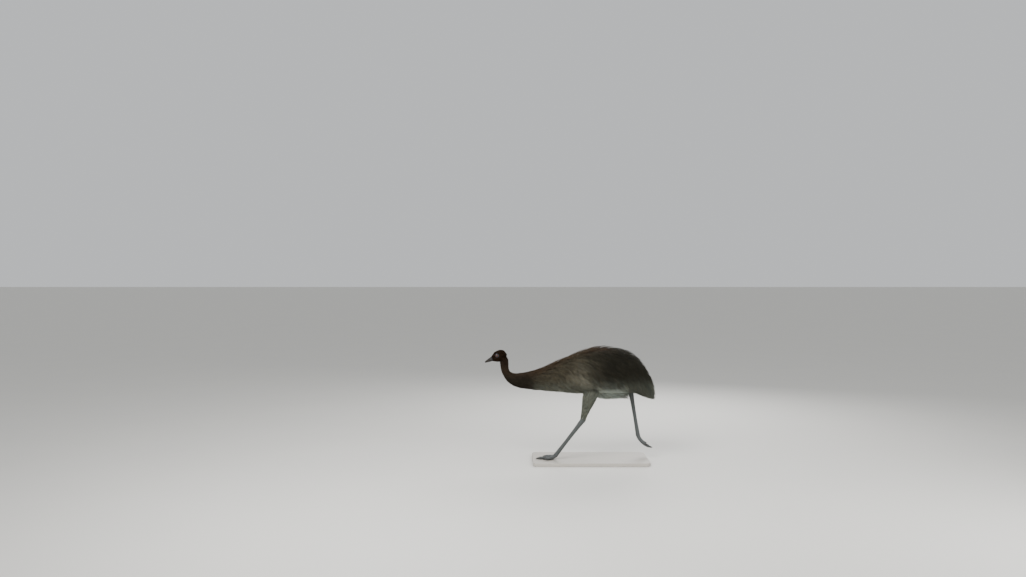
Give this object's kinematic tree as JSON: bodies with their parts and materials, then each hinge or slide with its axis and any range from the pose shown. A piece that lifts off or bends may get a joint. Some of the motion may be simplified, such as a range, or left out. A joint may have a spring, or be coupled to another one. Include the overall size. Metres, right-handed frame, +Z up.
{
  "type": "emu model on a display base",
  "caption": "Life-size emu in a running stride, low neck and raised head, one foot planted on a plain flat display base and the other lifted.",
  "frame": {"origin": "middle of the bounding box at the underside of the display base", "axes": "+X the way the bird faces, +Y its left side, +Z up"},
  "size_m": [1.315, 0.4, 0.8832],
  "materials": {
    "coat": "shaggy dark grey-brown feathers, matt",
    "head_coat": "sparse black-brown hair-like feathers over blue-grey skin",
    "bill": "horn, satin",
    "eye": "wet, dark amber brown",
    "scale": "scaly grey-brown leg skin",
    "claw": "blunt dark horn",
    "base": "painted pale grey, satin"
  },
  "bodies": {
    "root": {"bill_lower": "bill", "bill_upper": "bill", "claw_left_inner": "claw", "claw_left_middle": "claw", "claw_left_outer": "claw", "claw_right_inner": "claw", "claw_right_middle": "claw", "claw_right_outer": "claw", "eye_left": "eye", "eye_right": "eye", "foot_left": "scale", "foot_right": "scale", "head": "head_coat", "neck_lower": "coat", "neck_middle": "coat", "neck_upper": "head_coat", "shank_left": "scale", "shank_right": "scale", "stand_base": "base", "tail": "coat", "thigh_left": "coat", "thigh_right": "coat", "toe_left_inner": "scale", "toe_left_middle": "scale", "toe_left_outer": "scale", "toe_right_inner": "scale", "toe_right_middle": "scale", "toe_right_outer": "scale", "torso": "coat", "wing_left": "coat", "wing_right": "coat"}
  },
  "joints": []
}
